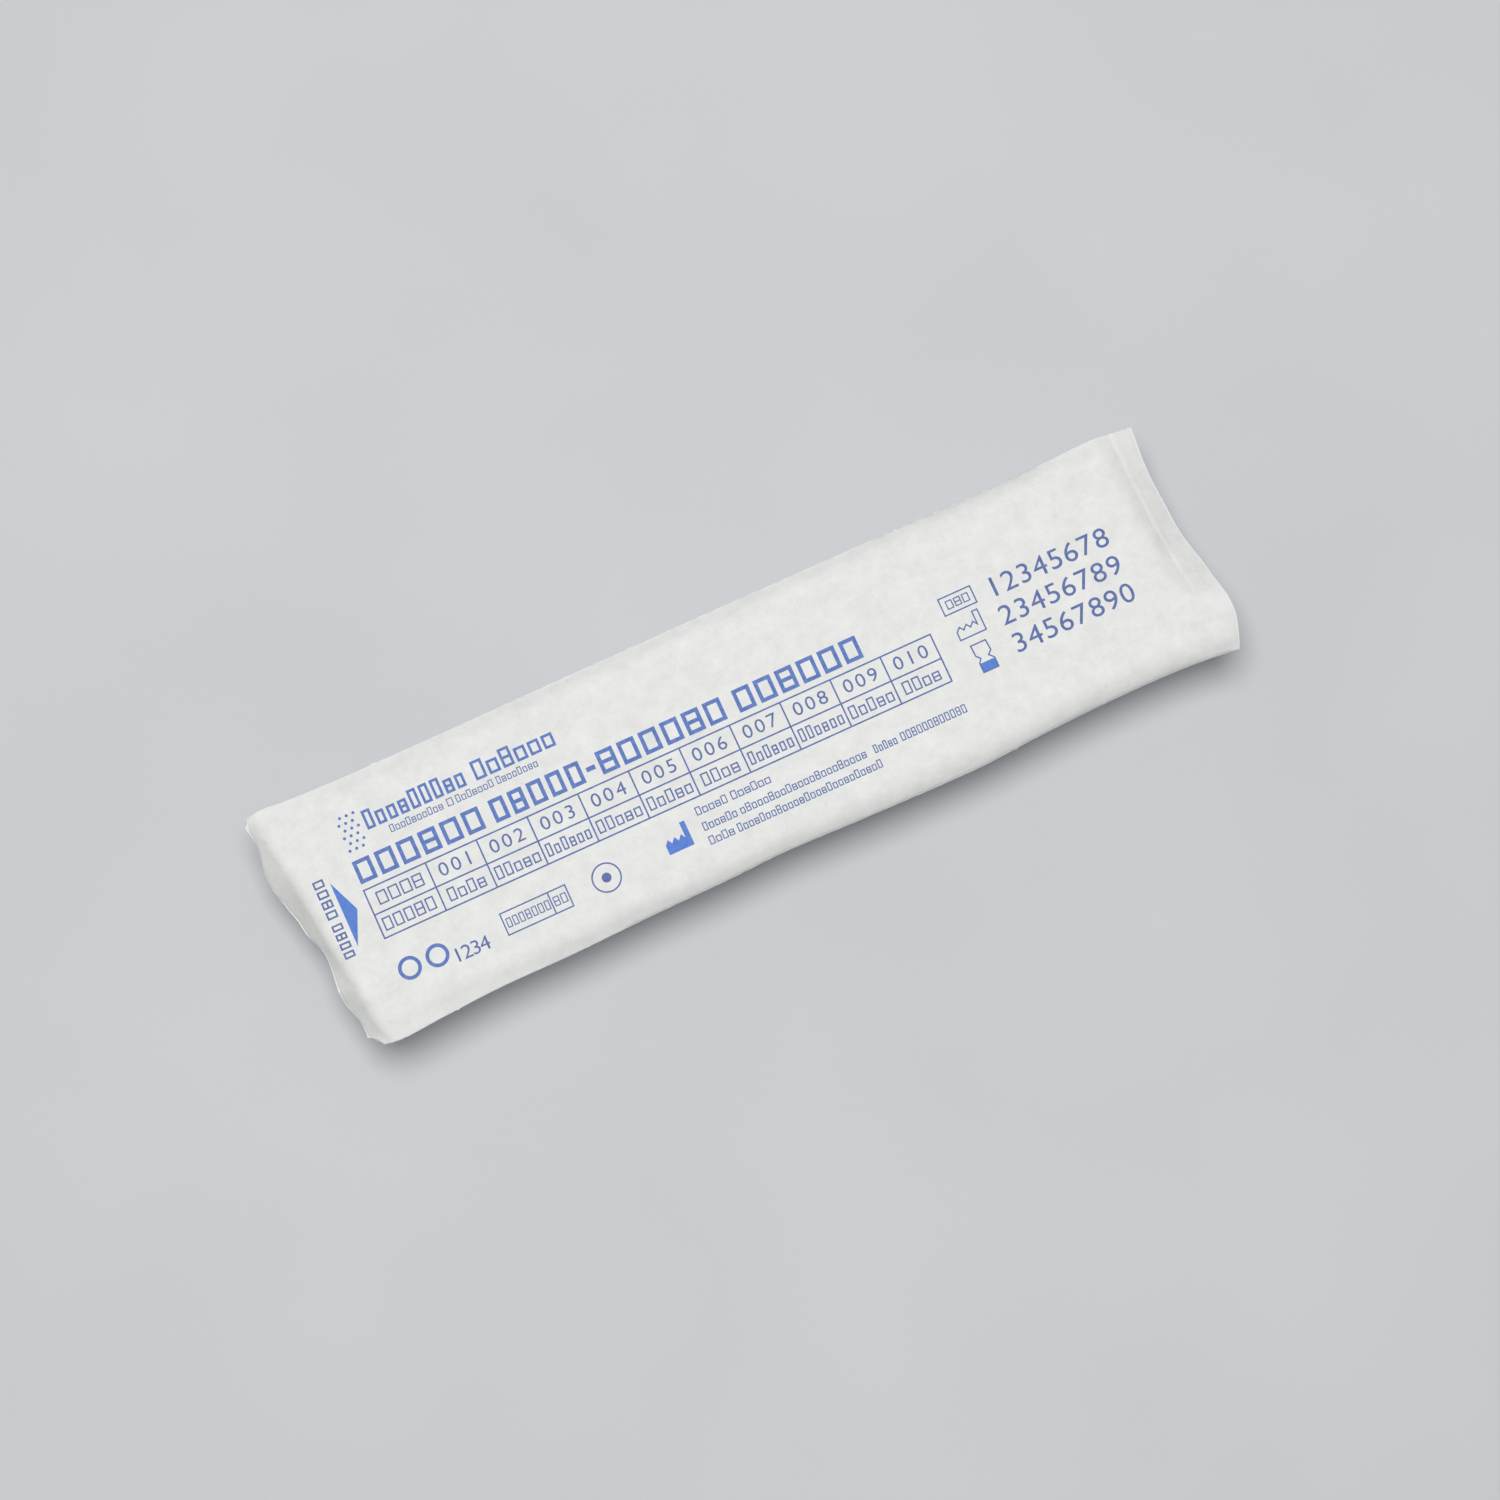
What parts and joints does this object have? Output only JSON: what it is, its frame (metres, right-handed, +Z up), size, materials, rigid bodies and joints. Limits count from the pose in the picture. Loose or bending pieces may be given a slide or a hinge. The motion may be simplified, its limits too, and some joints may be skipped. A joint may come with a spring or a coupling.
{
  "type": "sealed needle peel pack",
  "caption": "Sealed peel pack for one capped collection needle: flat printed paper lid with curled edges over a long formed film pocket.",
  "frame": {"origin": "middle of the flat floor of the film pocket, on which the pack lies", "axes": "+X along the print, from the peel end to the sealed flap; +Y towards the print's top edge; +Z up, out of the paper face"},
  "size_m": [0.1234, 0.0331, 0.0126],
  "materials": {
    "paper": "uncoated medical paper, faintly mottled",
    "film": "milky formed film, soft satin",
    "ink": "flat blue print, slightly grainy"
  },
  "bodies": {
    "root": {"sealed_peel_pack": "paper"}
  },
  "joints": []
}
